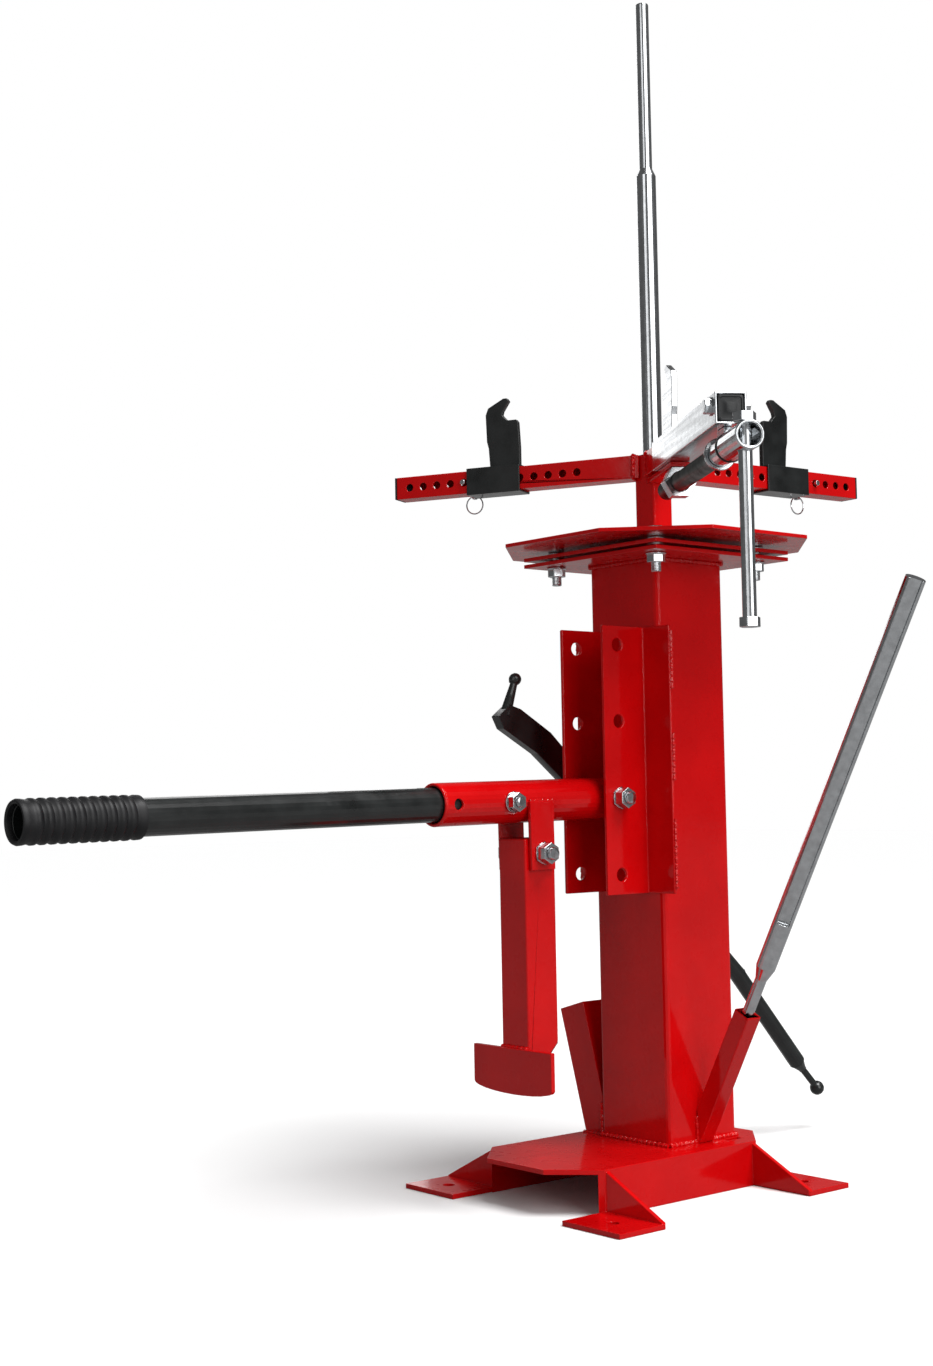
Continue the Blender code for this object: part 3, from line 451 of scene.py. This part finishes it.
def build_lever():
    """The ribbed grip, and the rounded lips at both ends of the sleeve."""
    ribs = [(-541 * MM, 17.2 * MM), (-541.5 * MM, 19.2 * MM), (-546 * MM, 19.4 * MM)]
    for k in range(GRIP_RIBS):
        x = GRIP_FIRST_RIB - k * GRIP_RIB_STEP
        ribs += [(x, 18.0 * MM), (x - 1.6 * MM, 17.6 * MM), (x - 3.0 * MM, 18.6 * MM),
                 (x - 4.2 * MM, 19.5 * MM), (x - 6.8 * MM, 19.6 * MM), (x - 8.2 * MM, 18.9 * MM)]
    ribs += [(-646 * MM, 18.4 * MM), (-650 * MM, 19.2 * MM), (-653.5 * MM, 19.4 * MM),
             (-655.5 * MM, 18.4 * MM), (-655.8 * MM, 16.8 * MM), (-654.6 * MM, 15.4 * MM),
             (-650.4 * MM, 14.8 * MM), (-650.4 * MM, 17.2 * MM)]
    grip = add("ribbed_grip", turned(ribs, closed=True), LEVER, "lever", LOOKS["black_rubber"])
    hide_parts("handle_grip")
    for name, end, out in (("sleeve_lip_outer", SLEEVE_OUTER, -1), ("sleeve_lip_inner", SLEEVE_INNER, 1)):
        ring = lip(end + out * 0.6 * MM, SLEEVE_LIP_RADIUS, SLEEVE_LIP, out)
        add(name, turned(ring, closed=True), LEVER, "lever", LOOKS["red_paint"])


def build_screw():
    """The threaded clamp screw, its washer and collar, and the bolt across the slide."""
    rod = add("threaded_screw", threaded(SCREW_START, SCREW_END, SCREW_RADIUS, SCREW_PITCH, SCREW_CUT),
              SCREW, "screw", LOOKS["dark_steel"])
    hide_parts("clamp_screw")
    washer = [(266 * MM, 10.4 * MM), (266 * MM, 15 * MM), (268.6 * MM, 15.4 * MM), (270 * MM, 14.6 * MM),
              (270 * MM, 10.4 * MM)]
    add("bush_washer", turned(washer, closed=True), SCREW, "clamp", ZINC_FRONT)
    collar = [(300.6 * MM, 10.5 * MM), (300.6 * MM, 13.6 * MM), (302 * MM, 14.2 * MM),
              (304.4 * MM, 14.2 * MM), (305.6 * MM, 13.6 * MM), (305.6 * MM, 10.5 * MM)]
    add("thrust_ring", turned(collar, closed=True), SCREW, "clamp", LOOKS["black_plastic"])
    ring = lip(HEAD_LIP_X, HEAD_LIP_RADIUS, 1.4 * MM)
    add("head_lip", turned(ring, closed=True), SCREW, "screw", ZINC_FRONT)
    for side, name in ((-1, "clamp_bolt_head"), (1, "clamp_bolt_nut")):
        place = FRONT @ Matrix.Translation((CLAMP_BOLT_X, side * CLAMP_BOLT_Y, CLAMP_BOLT_Z))
        place = place @ Matrix.Rotation(side * math.pi / 2, 4, "Z")
        add(name, prism(0, 6.5 * MM, CLAMP_BOLT_FLATS), place, "clamp", LOOKS["zinc"], smooth=False)
        add(name + "_washer", turned(((-0.2 * MM, 8.6 * MM), (1.2 * MM, 8.6 * MM)), 40),
            place, "clamp", LOOKS["zinc"])


def build_cap():
    """The moulded face of the slide's end plug: a raised border round a sunk panel."""
    steps = ((0, CAP_HALF), (1.4 * MM, CAP_HALF), (2 * MM, CAP_HALF - 0.6 * MM),
             (2 * MM, CAP_HALF - 1.8 * MM), (1.1 * MM, CAP_HALF - 2.4 * MM), (1.1 * MM, 5.4 * MM),
             (1.5 * MM, 4.8 * MM))
    shape = bmesh.new()
    loft(shape, [rounded_square(shape, x, reach, min(2.4 * MM, reach / 2)) for x, reach in steps])
    low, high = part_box("clamp_cap")
    place = FRONT.copy()
    place.translation = (low + high) / 2 + FRONT.to_3x3() @ Vector((CAP_FACE_OUT, 0, 0))
    add("cap_face", shape, place, "clamp", LOOKS["black_plastic"])


def rounded_square(shape, x, half, radius, steps=5):
    """A ring of vertices: a square with rounded corners, across local X."""
    ring = []
    for corner in range(4):
        start = corner * math.pi / 2
        centre = [(half - radius) * sign for sign in ((1, 1), (-1, 1), (-1, -1), (1, -1))[corner]]
        for k in range(steps + 1):
            angle = start + math.pi / 2 * k / steps
            ring.append(shape.verts.new((x, centre[0] + radius * math.cos(angle),
                                         centre[1] + radius * math.sin(angle))))
    return ring


def tip(name, node, body, axis, length, radius, pitch=1.5 * MM):
    """The thread on a bolt's free end. The axis is that end's sign, and 0, 1 or 2 for X, Y or Z."""
    low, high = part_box(node)
    start = (low + high) / 2
    way = Vector((0, 0, 0))
    sign, number = axis
    way[number] = sign
    start[number] = (high if sign > 0 else low)[number]
    start[number] -= sign * length
    up = (1, 0, 0) if number == 2 else (0, 0, 1)
    place = facing(start, way, up)
    add(name, threaded(0, length + 0.4 * MM, radius + 0.35 * MM, pitch, 0.7 * MM, 24), place, body,
        LOOKS["zinc"])


def build_tips():
    """The threaded ends of the bolts, which show under the deck and on the far sides."""
    for number in range(1, 5):
        tip(f"deck_bolt_{number}_thread", f"deck_bolt_{number}", "stand", (-1, 2), 8.6 * MM, 5 * MM)
    tip("pivot_bolt_thread", "lever_pivot_bolt", "stand", (-1, 1), 3.7 * MM, 6 * MM)
    tip("handle_bolt_thread", "handle_bolt", "lever", (-1, 1), 2.7 * MM, 5 * MM)
    tip("pusher_bolt_thread", "pusher_bolt", "pusher", (-1, 1), 3.7 * MM, 6 * MM)


# ---------------------------------------------------------------- camera, light and floor

def build_camera():
    """The photograph's viewpoint, with its slight roll."""
    camera = bpy.data.cameras.new("camera")
    camera.sensor_fit = "VERTICAL"
    camera.sensor_height = SENSOR_HEIGHT
    camera.lens = CAMERA_LENS
    made = bpy.data.objects.new("camera", camera)
    bpy.context.scene.collection.objects.link(made)
    forward = CAMERA_AIM.normalized()
    right = forward.cross(Vector((0, 0, 1))).normalized()
    up = right.cross(forward)
    level = right * math.cos(CAMERA_ROLL) + up * math.sin(CAMERA_ROLL)
    above = up * math.cos(CAMERA_ROLL) - right * math.sin(CAMERA_ROLL)
    turn = Matrix((level, above, -forward)).transposed().to_4x4()
    made.matrix_world = Matrix.Translation(COLUMN_AXIS + CAMERA_PLACE) @ turn
    bpy.context.scene.camera = made


def area_light(name, place, aim, size, power):
    """A softbox: size is in metres, power in watts."""
    light = bpy.data.lights.new(name, "AREA")
    light.shape = "RECTANGLE"
    light.size = size[0]
    light.size_y = size[1]
    light.energy = power
    made = bpy.data.objects.new(name, light)
    bpy.context.scene.collection.objects.link(made)
    made.location = place
    made.rotation_euler = (Vector(aim) - Vector(place)).to_track_quat("-Z", "Y").to_euler()


def pale_floor():
    """A matt floor: white to the camera, and grey to all other rays, so that it lights the object less."""
    made = new_material("pale_floor", (0.93, 0.93, 0.93), 0.8, specular=0.0)
    tree = made.node_tree
    path = tree.nodes.new("ShaderNodeLightPath")
    tint(made, path.outputs["Is Camera Ray"], (0.28, 0.28, 0.28), (0.93, 0.93, 0.93))
    grain = noise(made, (30 * MM,) * 3)
    drive(made, "Roughness", spread(made, grain, 0.75, 0.9))
    return made


def build_stage():
    """The floor, the world, a soft sun and three softboxes."""
    floor = bmesh.new()
    bmesh.ops.create_grid(floor, x_segments=1, y_segments=1, size=FLOOR_HALF)
    mesh = bpy.data.meshes.new("floor")
    floor.to_mesh(mesh)
    floor.free()
    made = bpy.data.objects.new("floor", mesh)
    bpy.context.scene.collection.objects.link(made)
    made.location.z = -FLOOR_BELOW
    mesh.materials.append(pale_floor())

    light_the_world()
    aim = COLUMN_AXIS + Vector((0, 0, 0.6))
    sun = bpy.data.lights.new("sun", "SUN")
    sun.energy = 3.3
    sun.angle = math.radians(35)
    made = bpy.data.objects.new("sun", sun)
    bpy.context.scene.collection.objects.link(made)
    made.rotation_euler = Vector((-0.15, 0.45, -1)).to_track_quat("-Z", "Y").to_euler()
    area_light("softbox_right", aim + Vector((-0.3, -3.3, 0.9)), aim, (2.4, 2.4), 56)
    area_light("softbox_left", aim + Vector((-3.1, -0.9, 0.9)), aim, (1.1, 2.2), 11)
    area_light("softbox_back", aim + Vector((1.4, 3.0, 1.2)), aim, (1.2, 2.4), 16)


def light_the_world():
    """A world that is a white backdrop to the camera, and a dim room to all other rays."""
    world = bpy.data.worlds.new("studio")
    world.use_nodes = True
    tree = world.node_tree
    room = tree.nodes["Background"]
    room.inputs["Color"].default_value = (1.0, 1.0, 1.0, 1.0)
    room.inputs["Strength"].default_value = 0.12
    backdrop = tree.nodes.new("ShaderNodeBackground")
    backdrop.inputs["Strength"].default_value = 1.0
    backdrop.inputs["Color"].default_value = (1.0, 1.0, 1.0, 1.0)
    path = tree.nodes.new("ShaderNodeLightPath")
    mix = tree.nodes.new("ShaderNodeMixShader")
    tree.links.new(path.outputs["Is Camera Ray"], mix.inputs[0])
    tree.links.new(room.outputs[0], mix.inputs[1])
    tree.links.new(backdrop.outputs[0], mix.inputs[2])
    tree.links.new(mix.outputs[0], tree.nodes["World Output"].inputs[0])
    bpy.context.scene.world = world


def main():
    # The Standard view keeps the strong red that the default one washes out.
    bpy.context.scene.view_settings.view_transform = "Standard"
    finish_cad()
    build_welds()
    build_lever()
    build_screw()
    build_cap()
    build_tips()
    build_camera()
    build_stage()


main()
